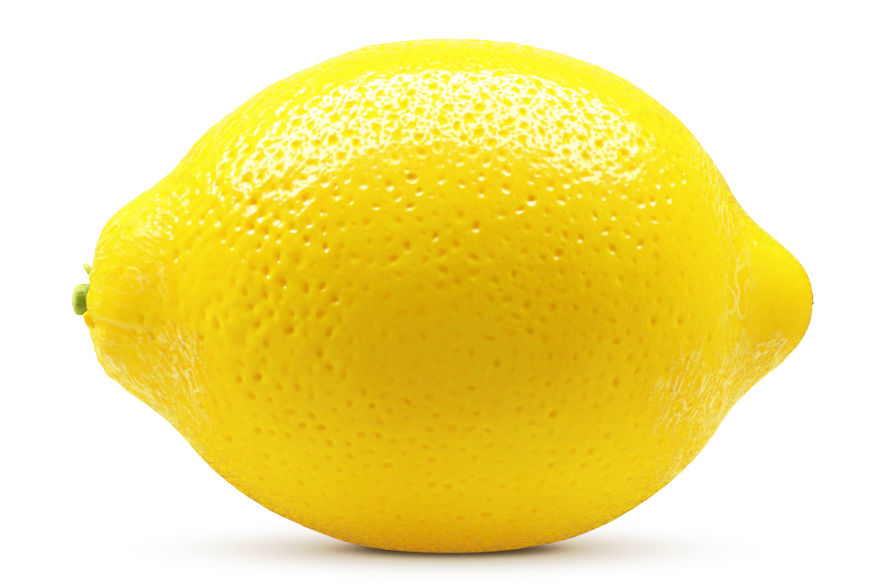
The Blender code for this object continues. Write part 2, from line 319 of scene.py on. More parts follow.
# =====================================================================
# A closed grid over the whole fruit: six square faces, no pole
# =====================================================================
def cube_grid(n):
    """Unit directions, quads and per-loop UVs of a cube drawn out to a sphere."""
    ids = {}
    steps = np.arange(n + 1)
    a, b = np.meshgrid(steps, steps, indexing="ij")
    faces, uvs, keys = [], [], []
    frames = (
        (0, 1, (1, 2)),
        (0, 0, (2, 1)),
        (1, 1, (2, 0)),
        (1, 0, (0, 2)),
        (2, 1, (0, 1)),
        (2, 0, (1, 0)),
    )
    grids = []
    for axis, end, (ua, va) in frames:
        c = np.zeros((n + 1, n + 1, 3), dtype=np.int64)
        c[..., axis] = n if end else 0
        c[..., ua] = a
        c[..., va] = b
        grids.append(c)
    code = [g[..., 0] * (n + 1) ** 2 + g[..., 1] * (n + 1) + g[..., 2] for g in grids]
    flat = np.concatenate([k.ravel() for k in code])
    unique, inverse = np.unique(flat, return_inverse=True)
    lattice = np.stack(
        (unique // (n + 1) ** 2, (unique // (n + 1)) % (n + 1), unique % (n + 1)), axis=1
    )
    count = (n + 1) ** 2
    margin = 0.004
    for f in range(6):
        index = inverse[f * count : (f + 1) * count].reshape(n + 1, n + 1)
        quad = np.stack(
            (index[:-1, :-1], index[1:, :-1], index[1:, 1:], index[:-1, 1:]), axis=-1
        )
        faces.append(quad.reshape(-1, 4))
        column, row = f % 3, f // 3
        u0, v0 = column / 3.0 + margin, row / 2.0 + margin
        us, vs = (1.0 / 3.0 - 2 * margin) / n, (0.5 - 2 * margin) / n
        ca = np.stack((a[:-1, :-1], a[1:, :-1], a[1:, 1:], a[:-1, 1:]), axis=-1)
        cb = np.stack((b[:-1, :-1], b[1:, :-1], b[1:, 1:], b[:-1, 1:]), axis=-1)
        uv = np.stack((u0 + us * ca, v0 + vs * cb), axis=-1)
        uvs.append(uv.reshape(-1, 2))
    faces = np.concatenate(faces)
    uvs = np.concatenate(uvs)

    # lattice to directions, drawn in towards the middle of the two end faces
    q = lattice / n * 2.0 - 1.0
    ends = np.abs(q[:, 0]) > 0.9999
    pull = 0.42 * (1.0 - q[:, 1] ** 2) * (1.0 - q[:, 2] ** 2) * ends
    q[:, 1] *= 1.0 - pull
    q[:, 2] *= 1.0 - pull
    q = np.tan(q * (math.pi / 4.0))
    d = q / np.linalg.norm(q, axis=1, keepdims=True)
    return d, faces, uvs


def mesh_object(name, points_mm, quads, uvs, mat, smooth=True):
    mesh = bpy.data.meshes.new(name)
    nv, nf = len(points_mm), len(quads)
    k = quads.shape[1]
    mesh.vertices.add(nv)
    mesh.vertices.foreach_set("co", (points_mm * MM).astype(np.float32).ravel())
    mesh.loops.add(nf * k)
    mesh.loops.foreach_set("vertex_index", quads.astype(np.int32).ravel())
    mesh.polygons.add(nf)
    mesh.polygons.foreach_set("loop_start", np.arange(nf, dtype=np.int32) * k)
    mesh.update(calc_edges=True)
    if uvs is not None:
        layer = mesh.uv_layers.new(name="OFBake")
        layer.uv.foreach_set("vector", uvs.astype(np.float32).ravel())
    mesh.materials.append(mat)
    if smooth:
        mesh.shade_smooth()
    mesh.validate()
    obj = bpy.data.objects.new(name, mesh)
    bpy.context.scene.collection.objects.link(obj)
    return obj


def vertex_normals(mesh):
    out = np.empty(len(mesh.vertices) * 3, dtype=np.float32)
    mesh.vertex_normals.foreach_get("vector", out)
    return out.reshape(-1, 3).astype(float)


def point_attribute(mesh, name, values):
    layer = mesh.attributes.new(name, "FLOAT", "POINT")
    layer.data.foreach_set("value", values.astype(np.float32))


# =====================================================================
# Materials
# =====================================================================
class Nodes:
    """A short way to write a node tree."""

    def __init__(self, name):
        self.mat = bpy.data.materials.new(name)
        self.mat.use_nodes = True
        self.tree = self.mat.node_tree
        self.shader = self.tree.nodes["Principled BSDF"]

    def add(self, kind, **values):
        node = self.tree.nodes.new(kind)
        for key, value in values.items():
            setattr(node, key, value)
        return node

    def link(self, a, b):
        self.tree.links.new(a, b)

    def set(self, **values):
        for key, value in values.items():
            name = key.replace("_", " ")
            self.shader.inputs[name].default_value = value

    def place(self):
        return self.add("ShaderNodeTexCoord").outputs["Object"]

    def noise(self, vector, scale, detail=2.0, rough=0.5, distort=0.0):
        node = self.add("ShaderNodeTexNoise")
        node.inputs["Scale"].default_value = scale
        node.inputs["Detail"].default_value = detail
        node.inputs["Roughness"].default_value = rough
        node.inputs["Distortion"].default_value = distort
        self.link(vector, node.inputs["Vector"])
        return node.outputs["Fac"]

    def ramp(self, value, stops):
        node = self.add("ShaderNodeValToRGB")
        while len(node.color_ramp.elements) > len(stops):
            node.color_ramp.elements.remove(node.color_ramp.elements[-1])
        while len(node.color_ramp.elements) < len(stops):
            node.color_ramp.elements.new(0.5)
        for element, (pos, colour) in zip(node.color_ramp.elements, stops):
            element.position = pos
            if isinstance(colour, (int, float)):
                colour = (colour, colour, colour)
            element.color = (*colour, 1.0)
        self.link(value, node.inputs["Fac"])
        return node.outputs["Color"]

    def mix(self, fac, a, b, kind="MIX"):
        node = self.add("ShaderNodeMix", data_type="RGBA", blend_type=kind)
        for slot, value in ((0, fac), (6, a), (7, b)):
            if isinstance(value, (int, float)):
                node.inputs[slot].default_value = value
            elif isinstance(value, tuple):
                node.inputs[slot].default_value = (*value, 1.0)
            else:
                self.link(value, node.inputs[slot])
        return node.outputs[2]

    def math(self, op, a, b=0.0, clamp=False):
        node = self.add("ShaderNodeMath", operation=op, use_clamp=clamp)
        for slot, value in ((0, a), (1, b)):
            if isinstance(value, (int, float)):
                node.inputs[slot].default_value = value
            else:
                self.link(value, node.inputs[slot])
        return node.outputs[0]

    def attribute(self, name):
        return self.add("ShaderNodeAttribute", attribute_name=name).outputs["Fac"]

    def bump(self, height, distance, strength=1.0, below=None):
        node = self.add("ShaderNodeBump")
        node.inputs["Strength"].default_value = strength
        node.inputs["Distance"].default_value = distance
        self.link(height, node.inputs["Height"])
        if below is not None:
            self.link(below, node.inputs["Normal"])
        return node.outputs["Normal"]


def peel_material():
    n = Nodes("lemon_peel_skin")
    where = n.place()
    pit = n.attribute("pit")
    ridge_painted_highlight = n.attribute("ridge_painted_highlight")
    net = n.attribute("net")
    dull = n.attribute("dull")
    broad = n.noise(where, 55.0, 3.0, 0.55)
    fine = n.noise(where, 900.0, 3.0, 0.6)
    speck = n.noise(where, 2600.0, 2.0, 0.5)

    colour = n.ramp(
        broad,
        (
            (0.30, (0.930, 0.545, 0.0058)),
            (0.50, (0.950, 0.575, 0.0064)),
            (0.72, (0.960, 0.610, 0.0085)),
        ),
    )
    colour = n.mix(n.ramp(fine, ((0.35, 0.0), (0.75, 0.22))), colour, (0.985, 0.64, 0.010))
    colour = n.mix(n.math("MULTIPLY", net, 0.60), colour, (0.93, 0.46, 0.0020))
    # painted highlight: pale cream mixed in along the raised ridges, the crease streaks and the neck streaks
    colour = n.mix(n.math("MULTIPLY", ridge_painted_highlight, 0.72), colour, (1.0, 0.88, 0.400))
    # painted shade: the pits mixed darker, standing in for the shade in their hollows
    colour = n.mix(n.attribute("painted_pit_shade"), colour, (0.860, 0.515, 0.0050))
    n.link(colour, n.shader.inputs["Base Color"])

    rough = n.math("ADD", n.math("MULTIPLY", broad, 0.04), 0.035)
    rough = n.math("ADD", rough, n.math("MULTIPLY", pit, 0.30))
    rough = n.math("ADD", rough, n.math("MULTIPLY", dull, 0.14), clamp=True)
    n.link(rough, n.shader.inputs["Roughness"])
    # a gland's wall is dull, so the pits stay yellow where the skin shines
    level = n.math("SUBTRACT", 0.5, n.math("MULTIPLY", dull, 0.44))
    level = n.math("MULTIPLY", level, n.math("SUBTRACT", 1.0, pit))
    n.link(level, n.shader.inputs["Specular IOR Level"])

    normal = n.bump(fine, 0.00002, 0.5)
    normal = n.bump(speck, 0.000005, 0.5, normal)
    n.link(normal, n.shader.inputs["Normal"])
    n.set(
        Metallic=0.0,
        IOR=1.46,
        Subsurface_Weight=0.85,
        Subsurface_Radius=(1.0, 0.50, 0.10),
        Subsurface_Scale=0.0030,
    )
    return n.mat


def stem_material():
    n = Nodes("stem_skin")
    where = n.place()
    cut = n.attribute("cut")
    along = n.add("ShaderNodeMapping")
    along.inputs["Scale"].default_value = (0.25, 1.0, 1.0)
    n.link(where, along.inputs["Vector"])
    fibre = n.noise(along.outputs["Vector"], 2600.0, 3.0, 0.6)
    patch = n.noise(where, 650.0, 2.0, 0.5)
    colour = n.ramp(
        patch,
        (
            (0.30, (0.230, 0.330, 0.010)),
            (0.52, (0.330, 0.430, 0.018)),
            (0.75, (0.470, 0.550, 0.050)),
        ),
    )
    colour = n.mix(n.ramp(fibre, ((0.40, 0.0), (0.72, 0.45))), colour, (0.52, 0.56, 0.07))
    colour = n.mix(cut, colour, (0.62, 0.68, 0.20))
    n.link(colour, n.shader.inputs["Base Color"])
    n.link(n.math("ADD", n.math("MULTIPLY", fibre, 0.25), 0.36), n.shader.inputs["Roughness"])
    n.link(n.bump(fibre, 0.00006, 0.6), n.shader.inputs["Normal"])
    n.set(
        Specular_IOR_Level=0.12,
        Subsurface_Weight=0.15,
        Subsurface_Radius=(0.5, 0.8, 0.1),
        Subsurface_Scale=0.0008,
    )
    return n.mat


def calyx_material():
    n = Nodes("calyx_skin")
    where = n.place()
    tip = n.attribute("tip")
    patch = n.noise(where, 900.0, 3.0, 0.6)
    colour = n.ramp(
        patch,
        (
            (0.30, (0.110, 0.210, 0.012)),
            (0.55, (0.190, 0.330, 0.025)),
            (0.80, (0.330, 0.460, 0.060)),
        ),
    )
    colour = n.mix(tip, colour, (0.46, 0.62, 0.06))
    n.link(colour, n.shader.inputs["Base Color"])
    n.link(n.math("ADD", n.math("MULTIPLY", patch, 0.25), 0.40), n.shader.inputs["Roughness"])
    n.link(n.bump(patch, 0.00008, 0.6), n.shader.inputs["Normal"])
    n.set(
        Specular_IOR_Level=0.15,
        Subsurface_Weight=0.15,
        Subsurface_Radius=(0.5, 0.8, 0.1),
        Subsurface_Scale=0.0006,
    )
    return n.mat


def scar_material():
    n = Nodes("scar_skin")
    where = n.place()
    patch = n.noise(where, 2200.0, 3.0, 0.65)
    colour = n.ramp(
        patch,
        (
            (0.30, (0.110, 0.055, 0.016)),
            (0.55, (0.240, 0.130, 0.036)),
            (0.80, (0.420, 0.260, 0.080)),
        ),
    )
    n.link(colour, n.shader.inputs["Base Color"])
    n.link(n.math("ADD", n.math("MULTIPLY", patch, 0.30), 0.55), n.shader.inputs["Roughness"])
    n.link(n.bump(patch, 0.00010, 0.8), n.shader.inputs["Normal"])
    return n.mat


# =====================================================================
# Peel
# =====================================================================
def scatter(points, weight, spacing, tries, taken=None, clear=0.0):
    """Random points no nearer than spacing to each other, nor than clear to taken.
    weight: chance of keeping each point, 0 to 1."""
    order = RNG.choice(len(points), size=min(tries, len(points)), replace=False)
    keep_roll = RNG.random(len(order))
    cell = spacing
    cells, kept = {}, []
    tree = None
    if taken is not None and len(taken):
        tree = kdtree.KDTree(len(taken))
        for i, p in enumerate(taken):
            tree.insert(p, i)
        tree.balance()
    s2 = spacing * spacing
    for i, roll in zip(order, keep_roll):
        if roll > weight[i]:
            continue
        x, y, z = points[i]
        cx, cy, cz = int(x // cell), int(y // cell), int(z // cell)
        ok = True
        for ax in (cx - 1, cx, cx + 1):
            for ay in (cy - 1, cy, cy + 1):
                for az in (cz - 1, cz, cz + 1):
                    for j in cells.get((ax, ay, az), ()):
                        q = points[j]
                        if (q[0] - x) ** 2 + (q[1] - y) ** 2 + (q[2] - z) ** 2 < s2:
                            ok = False
                            break
                    if not ok:
                        break
                if not ok:
                    break
            if not ok:
                break
        if not ok:
            continue
        if tree is not None and tree.find((x, y, z))[2] < clear:
            continue
        cells.setdefault((cx, cy, cz), []).append(i)
        kept.append(i)
    return np.array(kept, dtype=int)


def build_peel(mat):
    n = 350
    d, quads, uvs = cube_grid(n)
    base = fruit_point(d)
    level = base[:, 2].min() + 0.32  # the flat spot's depth
    base += SHIFT
    base[:, 2] += -level
    obj = mesh_object("lemon_peel", base, quads, uvs, mat)
    mesh = obj.data
    normal = vertex_normals(mesh)
    if (normal * (base - base.mean(0))).sum() < 0.0:
        mesh.flip_normals()
        normal = vertex_normals(mesh)

    local = base - SHIFT
    x, y, z = local[:, 0], local[:, 1], base[:, 2]
    r = np.hypot(y, z - 29.9)

    # where the peel is smooth, pored or creased
    body = 1.0 / (1.0 + np.exp((np.abs(x) - 33.0) / 1.1))
    tip_zone = 1.0 / (1.0 + np.exp(-(x - 36.0) / 0.9))
    neck_zone = 1.0 / (1.0 + np.exp((x + 35.0) / 1.0))
    stem_dist = np.sqrt((x + 41.5) ** 2 + y**2 + (z - 29.2) ** 2)
    flat_near = np.clip(z / 0.5, 0.0, 1.0)
    low = 29.9 - z

    # slow and middling unevenness, strongest on the stem's side of the body
    rugged = 0.62 + 0.95 * smooth_step(-x, 6.0, 24.0) + 0.12 * smooth_step(x, 12.0, 26.0)
    rugged *= 1.0 - 0.30 * smooth_step(low, 2.0, 12.0)
    uneven = rugged * (0.35 + 0.65 * body)
    height = 0.090 * noise(local, 9.0, 1)
    height += 0.100 * noise(local, 3.6, 2) * uneven
    height += 0.082 * noise(local, 1.9, 3) * uneven

    # slanted rows between the glands, high on both shoulders
    arc = 27.0 * np.arctan2(z - 29.2, -y)
    for side, amount, far_end, low_end in ((-1.0, 0.18, 36.0, 32.0), (1.0, 0.17, 32.0, 40.0)):
        rows = np.stack((x + side * arc, 0.26 * (x - side * arc), 0.0 * x), axis=1) / 1.414
        where = smooth_step(side * x, 9.0, 21.0) * smooth_step(z, low_end, low_end + 7.0)
        where = where * (1.0 - smooth_step(side * x, far_end - 4.0, far_end))
        height += amount * noise(rows, 1.25, 70) * where

    # a net of fine raised wrinkles on both shoulders; they start at the ends and
    # wind downwards as they spread over the body
    right_net = 1.10 * smooth_step(x, 17.0, 31.0) * smooth_step(low, -2.0, 10.0)
    right_net = right_net * (1.0 - 0.35 * smooth_step(x, 37.5, 41.0))
    crease = 0.55 * gauss(x - 33.0, 1.7) * (0.75 + 0.25 * np.tanh(low / 6.0))
    left_net = smooth_step(-x, 23.0, 32.0) * smooth_step(low, -3.0, 7.0)
    left_high = 0.58 * smooth_step(-x, 28.0, 34.0) * (1.0 - smooth_step(low, -4.0, 7.0))
    zone = np.maximum.reduce((right_net, crease, left_net, left_high))
    zone = np.clip(zone * (1.0 + 0.8 * noise(local, 6.0, 4)), 0.0, 1.10)
    zone[stem_dist < 3.6] = 0.0
    hollow = gauss(x + 36.5, 3.6) * gauss(z - 24.6, 2.3) * (y < 0.0)
    zone *= 1.0 - 0.50 * hollow
    turn = np.arctan2(z - 29.2, -y)
    bend = np.stack([noise(local, 5.0, s) for s in (51, 52, 53)], axis=1)
    wiggle = np.stack([noise(local, 1.5, s) for s in (57, 58, 59)], axis=1)
    from_tip = 42.0 * (0.5 * math.pi - np.abs(np.arctan2(x, r)))
    twisted = turn + 0.058 * from_tip
    q_net = np.stack(
        (0.58 * from_tip, 18.0 * np.cos(twisted), 18.0 * np.sin(twisted)), axis=1
    )
    q_net += np.array((40.0, 0.0, 0.0)) * (x > 0.0)[:, None]
    q_net = q_net + 1.7 * bend + 0.95 * wiggle
    inside = np.flatnonzero(zone > 0.02)
    ridge = np.zeros(len(base))
    part = q_net[inside]
    fine_ = np.clip(1.25 - np.abs(noise(part, 2.2, 60)) / 0.048, 0.0, 1.0)
    finer = np.clip(1.20 - np.abs(noise(part, 1.5, 61)) / 0.064, 0.0, 1.0)
    broken = np.clip(0.50 + 2.2 * noise(local[inside], 2.0, 62), 0.0, 1.0)
    ridge[inside] = np.maximum.reduce(
        (
            fine_ * np.clip(0.85 + 1.4 * noise(local[inside], 3.0, 63), 0.15, 1.0),
            0.80 * finer * broken,
            cell_edges(part, 1.35, 0.095) * (0.55 + 0.45 * broken),
        )
    )
    ridge_painted_highlight = np.clip(ridge * zone, 0.0, 1.0)
    height += 0.150 * ridge_painted_highlight - 0.050 * zone
    height += 0.100 * noise(q_net, 2.0, 5) * zone
    # from here on the ridges' mask paints a pale highlight along their tops
    ridge_painted_highlight = np.clip((ridge_painted_highlight - 0.34) / 0.52, 0.0, 1.0)

    # the streaks of the crease round the nipple's foot
    middle = 33.2 - 0.34 * np.clip(z - 36.0, 0.0, 12.0) + 0.8 * noise(local, 6.0, 56)
    hoop = np.abs(noise(local * np.array((1.0, 0.30, 0.30)), 0.85, 55))
    fold = np.clip(1.0 - hoop / 0.10, 0.0, 1.0) * gauss(x - middle, 1.35)
    fold *= np.clip(0.75 + noise(local, 3.0, 64), 0.2, 1.0)
    height += 0.13 * fold - 0.10 * gauss(x - middle, 1.1)
    # the crease streaks get the painted pale highlight too
    ridge_painted_highlight = np.maximum(ridge_painted_highlight, 0.80 * fold)

    # fine streaks that run down the neck from the stem
    radial = np.stack((np.cos(turn) * 9.0, np.sin(turn) * 9.0, x * 0.22), axis=1)
    radial += 1.1 * bend + 0.35 * wiggle
    streak = np.clip(1.15 - np.abs(noise(radial, 1.9, 7)) / 0.060, 0.0, 1.0)
    streak *= np.clip(0.15 + 2.2 * noise(local, 3.2, 65), 0.0, 1.0)
    neck = gauss(stem_dist - 4.5, 5.5) * (x < 0)
    height += (0.10 * streak + 0.10 * noise(radial, 2.0, 8)) * neck
    height += 0.25 * noise(local, 2.7, 66) * gauss(stem_dist - 7.0, 6.0) * (x < 0)
    height += 0.07 * noise(local, 1.3, 67) * gauss(stem_dist - 9.5, 5.0) * (x < 0)
    # the neck streaks get the painted pale highlight too
    ridge_painted_highlight = np.maximum(ridge_painted_highlight, 0.85 * neck * streak)
    tip_streak = np.stack((np.cos(turn) * 7.0, np.sin(turn) * 7.0, x * 0.30), axis=1)
    height += 0.030 * noise(tip_streak, 0.9, 9) * gauss(x - 38.0, 3.0)

    # the crease that leaves the stem in front, and the hollow under it
    along_ = np.clip((x + 41.5) / 9.5, 0.0, 1.0)
    centre = 29.9 + CREASE_Z[0] + (CREASE_Z[1] - CREASE_Z[0]) * np.sin(along_ * 2.3)
    line = (z - centre) * (y < 0.0)
    reach = smooth_step(x, -42.0, -40.0) * (1.0 - smooth_step(x, -38.0, -32.5)) * (y < 0.0)
    height -= 0.19 * reach * gauss(line + 0.30, 0.60)
    height += 0.11 * reach * gauss(line - 0.55, 0.65)
    height -= 0.38 * reach * gauss(line + 3.0, 2.4) * smooth_step(x, -41.0, -38.0)
    # a painted pale highlight along the crease's upper lip
    ridge_painted_highlight = np.maximum(ridge_painted_highlight, 0.22 * reach * gauss(line - 0.35, 0.28))
    ridge_painted_highlight *= flat_near

    # oil glands: pits in three sizes
    pit = np.zeros(len(base))
    painted_pit_shade = np.zeros(len(base))
    patchy = np.clip(0.95 + 0.70 * noise(local, 7.0, 10), 0.40, 1.0)
    w_big = np.clip(body * patchy, 0.0, 1.0) * (stem_dist > 9.0)
    big = scatter(base, w_big, 1.82, 40000)
    w_mid = np.clip(0.9 * body + 0.08 * tip_zone + 0.20 * neck_zone, 0.0, 1.0)
    w_mid = w_mid * (stem_dist > 6.0)
    mid = scatter(base, w_mid, 1.15, 60000, base[big], 1.05)

    tree = kdtree.KDTree(len(base))
    for i, p in enumerate(base.tolist()):
        tree.insert(p, i)
    tree.balance()
    along = np.cross(normal, np.array((1.0, 0.0, 0.0)))
    along /= np.maximum(np.linalg.norm(along, axis=1, keepdims=True), 1e-9)
    across = np.cross(normal, along)

    down = normal * normal[:, 2:3] - np.array((0.0, 0.0, 1.0))
    down /= np.maximum(np.linalg.norm(down, axis=1, keepdims=True), 1e-9)
    beside = 1.0 - smooth_step(normal[:, 2], 0.50, 0.64)

    def press(group, r_low, r_high, d_low, d_high, around, pit_shade_weight):
        """Press a pit at each point: a straight-walled well in a shallow dimple. On
        the fruit's sides, a pit's lower wall keeps the skin's shine."""
        size = RNG.random(len(group)) ** 1.2
        deeper = np.clip(np.exp(0.32 * RNG.normal(0.0, 1.0, len(group))), 0.65, 1.8)
        tilt = RNG.normal(0.0, 1.0, len(group))
        aspect = 1.0 + 0.28 * np.abs(RNG.normal(0.0, 1.0, len(group)))
        for i, s, t, a, more in zip(group, size, tilt, aspect, deeper):
            edge_on = min(1.0, max(0.0, (abs(x[i]) - 25.0) / 8.0))
            a = min(a + 0.15 + 0.35 * edge_on, 2.0)
            t = t * (0.6 - 0.45 * edge_on)
            radius = r_low + (r_high - r_low) * s
            depth = (d_low + (d_high - d_low) * s) * (1.0 - 0.50 * edge_on) * more
            depth = min(depth * (1.0 - 0.02 * beside[i]), 0.52 * radius)
            found = tree.find_range(base[i], radius * max(1.0, a**0.5) * 2.0)
            if not found:
                continue
            index = np.array([f[1] for f in found])
            off = base[index] - base[i]
            e1 = math.cos(t) * along[i] + math.sin(t) * across[i]
            e2 = -math.sin(t) * along[i] + math.cos(t) * across[i]
            q = np.hypot(off @ e1 / a**0.5, off @ e2 * a**0.5) / radius
            low_side = off @ down[i] / radius
            skew = 1.0 + 0.80 * beside[i] * np.clip(low_side, -1.0, 1.0)
            np.minimum.at(well, index, -depth * cone(q) * skew)
            dimple[index] -= around * rugged[i] ** 2 * depth * bump01(q / 2.0)
            inside = 1.0 - smooth_step(q, 0.90, 1.08)
            inside *= 1.0 - beside[i] * smooth_step(low_side, 0.10, 0.45)
            np.maximum.at(pit, index, inside)
            # the pit's painted shade, by the given weight
            np.maximum.at(painted_pit_shade, index, pit_shade_weight * inside)

    well = np.zeros(len(base))
    dimple = np.zeros(len(base))
    press(big, 0.55, 0.78, 0.155, 0.220, 0.26, 1.0)
    press(mid, 0.28, 0.42, 0.050, 0.085, 0.12, 0.7)
    w_small = np.clip(0.9 * body + 0.22 * tip_zone + 0.35 * neck_zone, 0.0, 1.0)
    w_small = w_small * (stem_dist > 4.0) * (well > -0.012)
    small = scatter(base, w_small, 0.68, 200000)
    press(small, 0.23, 0.30, 0.018, 0.030, 0.0, 0.2)
    height += well + dimple

    height *= flat_near
    moved = base + normal * height[:, None]
    moved[:, 2] = np.where(moved[:, 2] < 0.0, 0.0, moved[:, 2])
    mesh.vertices.foreach_set("co", (moved * MM).astype(np.float32).ravel())
    mesh.update()
    point_attribute(mesh, "pit", pit * flat_near)
    # painted shade in the pits, a little stronger on the fruit's sides
    point_attribute(mesh, "painted_pit_shade", painted_pit_shade * flat_near * (0.20 + 0.08 * beside))
    # the mask of the painted pale highlight on the ridges
    point_attribute(mesh, "ridge_painted_highlight", ridge_painted_highlight)
    point_attribute(mesh, "net", np.clip(zone, 0.0, 1.0) * (1.0 - ridge_painted_highlight) * flat_near)
    dull = np.maximum(1.0 - smooth_step(stem_dist, 12.0, 19.0), 0.6 * np.clip(zone, 0.0, 1.0))
    dull = np.maximum(dull, 0.75 * smooth_step(-normal[:, 2], 0.45, 0.90))
    point_attribute(mesh, "dull", dull)
    print("peel", len(base), "points, pits", len(big), len(mid), len(small))
    return obj, -level


# =====================================================================
# Small pieces, lathed about the stem's axis
# =====================================================================
def lathe(name, rings, first, last, mat, attribute=None):
    """A closed body from rings of points (R, N, 3), with a point at each end."""
    rings = np.asarray(rings)
    rows, sides = rings.shape[0], rings.shape[1]
    points = np.concatenate((rings.reshape(-1, 3), [first], [last]))
    quads, tris, uv_q, uv_t = [], [], [], []
    for j in range(rows - 1):
        k = np.arange(sides)
        m = (k + 1) % sides
        quads.append(
            np.stack(
                (j * sides + k, j * sides + m, (j + 1) * sides + m, (j + 1) * sides + k),
                axis=1,
            )
        )
        u0, u1 = k / sides, (k + 1) / sides
        v0, v1 = (j + 1) / (rows + 1), (j + 2) / (rows + 1)
        one = np.ones(sides)
        uv_q.append(
            np.stack(
                (
                    np.stack((u0, v0 * one), 1),
                    np.stack((u1, v0 * one), 1),
                    np.stack((u1, v1 * one), 1),
                    np.stack((u0, v1 * one), 1),
                ),
                axis=1,
            )
        )
    quads = np.concatenate(quads)
    uv_q = np.concatenate(uv_q).reshape(-1, 2)
    k = np.arange(sides)
    m = (k + 1) % sides
    low = np.stack((np.full(sides, rows * sides), m, k), axis=1)
    high = np.stack(
        (np.full(sides, rows * sides + 1), (rows - 1) * sides + k, (rows - 1) * sides + m),
        axis=1,
    )
    v = 1.0 / (rows + 1)
    for top, (a, b) in ((0, (1, 0)), (1, (0, 1))):
        edge = v if top == 0 else 1.0 - v
        pole = 0.0 if top == 0 else 1.0
        tri = np.stack(
            (
                np.stack(((k + 0.5) / sides, np.full(sides, pole)), 1),
                np.stack(((k + a) / sides, np.full(sides, edge)), 1),
                np.stack(((k + b) / sides, np.full(sides, edge)), 1),
            ),
            axis=1,
        )
        uv_t.append(tri.reshape(-1, 2))
    mesh = bpy.data.meshes.new(name)
    mesh.vertices.add(len(points))
    mesh.vertices.foreach_set("co", ((points + BODY_AT) * MM).astype(np.float32).ravel())
    loops = np.concatenate((quads.ravel(), low.ravel(), high.ravel()))
    starts = np.concatenate(
        (
            np.arange(len(quads)) * 4,
            len(quads) * 4 + np.arange(2 * sides) * 3,
        )
    )
    mesh.loops.add(len(loops))
    mesh.loops.foreach_set("vertex_index", loops.astype(np.int32))
    mesh.polygons.add(len(starts))
    mesh.polygons.foreach_set("loop_start", starts.astype(np.int32))
    mesh.update(calc_edges=True)
    layer = mesh.uv_layers.new(name="OFBake")
    uv = np.concatenate((uv_q, *uv_t))
    layer.uv.foreach_set("vector", uv.astype(np.float32).ravel())
    mesh.materials.append(mat)
    mesh.shade_smooth()
    mesh.validate()
    if attribute:
        key, values = attribute
        point_attribute(mesh, key, np.concatenate((values.ravel(), [values.ravel()[0], values.ravel()[-1]])))
    obj = bpy.data.objects.new(name, mesh)
    bpy.context.scene.collection.objects.link(obj)
    normal = vertex_normals(mesh)
    middle = points.mean(0)
    if (normal * (points - middle)).sum() < 0.0:
        mesh.flip_normals()
    return obj


def build_stem(mat, seat_x):
    n = 120
    azimuth = np.arange(n) * (2.0 * math.pi / n)
    start = seat_x - GAP
    ribs = 1.0 + 0.018 * np.cos(7.0 * azimuth + 0.4) + 0.012 * np.cos(3.0 * azimuth)
    ribs += 0.006 * np.cos(17.0 * azimuth + 1.0)
    rings, cut = [], []

    def ring(x, scale, cutness):
        r = STEM_RADIUS * scale * ribs
        p = np.stack(
            (np.full(n, x), r * np.cos(azimuth), STEM_Z + r * np.sin(azimuth)), axis=-1
        )
        # the cut runs a little askew
        lean = np.clip((start - x) / (start - STEM_END_X), 0.0, 1.0)
        p[:, 0] += lean * 0.055 * (p[:, 2] - STEM_Z)
        rings.append(p)
        cut.append(np.full(n, cutness))

    flat = STEM_RADIUS - STEM_EDGE
    for i in range(1, 12):  # the cut face, worn to a low dome
        t = i / 12
        dome = 0.26 * t * t + 0.05 * bump01(t * 1.6) + 0.02 * math.cos(9.0 * t)
        ring(STEM_END_X + 0.04 + dome, flat * t / STEM_RADIUS, 0.8)
    for i in range(9):
        a = math.pi / 16.0 + (0.5 * math.pi - math.pi / 16.0) * i / 8
        inset = STEM_EDGE * (1.0 - math.sin(a)) / STEM_RADIUS
        ring(
            STEM_END_X + 0.36 + STEM_EDGE * (1.0 - math.cos(a)),
            1.0 - inset,
            max(0.0, 0.75 - 0.12 * i),
        )
    span = start - (STEM_END_X + 0.36 + STEM_EDGE)
    for i in range(1, 29):
        t = i / 28
        swell_ = 0.03 * t * t + 0.008 * math.sin(9.0 * t)
        ring(STEM_END_X + 0.36 + STEM_EDGE + span * t, 1.0 + swell_, 0.0)
    rings = np.array(rings)
    flatp = rings.reshape(-1, 3)
    rough = 0.030 * noise(flatp * np.array((0.35, 1.0, 1.0)), 0.45, 21)
    rough += 0.014 * noise(flatp, 0.22, 22)
    out = flatp - np.array((0.0, 0.0, STEM_Z))
    out[:, 0] = 0.0
    out /= np.maximum(np.linalg.norm(out, axis=1, keepdims=True), 1e-6)
    inside = np.clip((start - flatp[:, 0]) / 0.4, 0.0, 1.0)
    flatp += out * (rough * inside)[:, None]
    rings = flatp.reshape(rings.shape)
    first = rings[0].mean(0) + np.array((0.02, 0.0, 0.0))
    last = np.array((start, 0.0, STEM_Z))
    return lathe("stem_stub", rings, first, last, mat, ("cut", np.array(cut)))


def sepal_outline(azimuth):
    reach = np.full(azimuth.shape, CALYX_HUB)
    curl = np.zeros(azimuth.shape)
    for i in range(SEPALS):
        centre = math.radians(SEPAL_TURN + 360.0 * i / SEPALS)
        off = wrap(azimuth - centre)
        t = np.clip(np.abs(off) / math.radians(31.0), 0.0, 1.0)
        lobe = np.clip(1.0 - t**2.4, 0.0, 1.0)
        reach = np.maximum(reach, CALYX_HUB + (SEPAL_REACH[i] - CALYX_HUB) * lobe)
        curl = np.maximum(curl, SEPAL_CURL[i] * lobe)
    return reach, curl


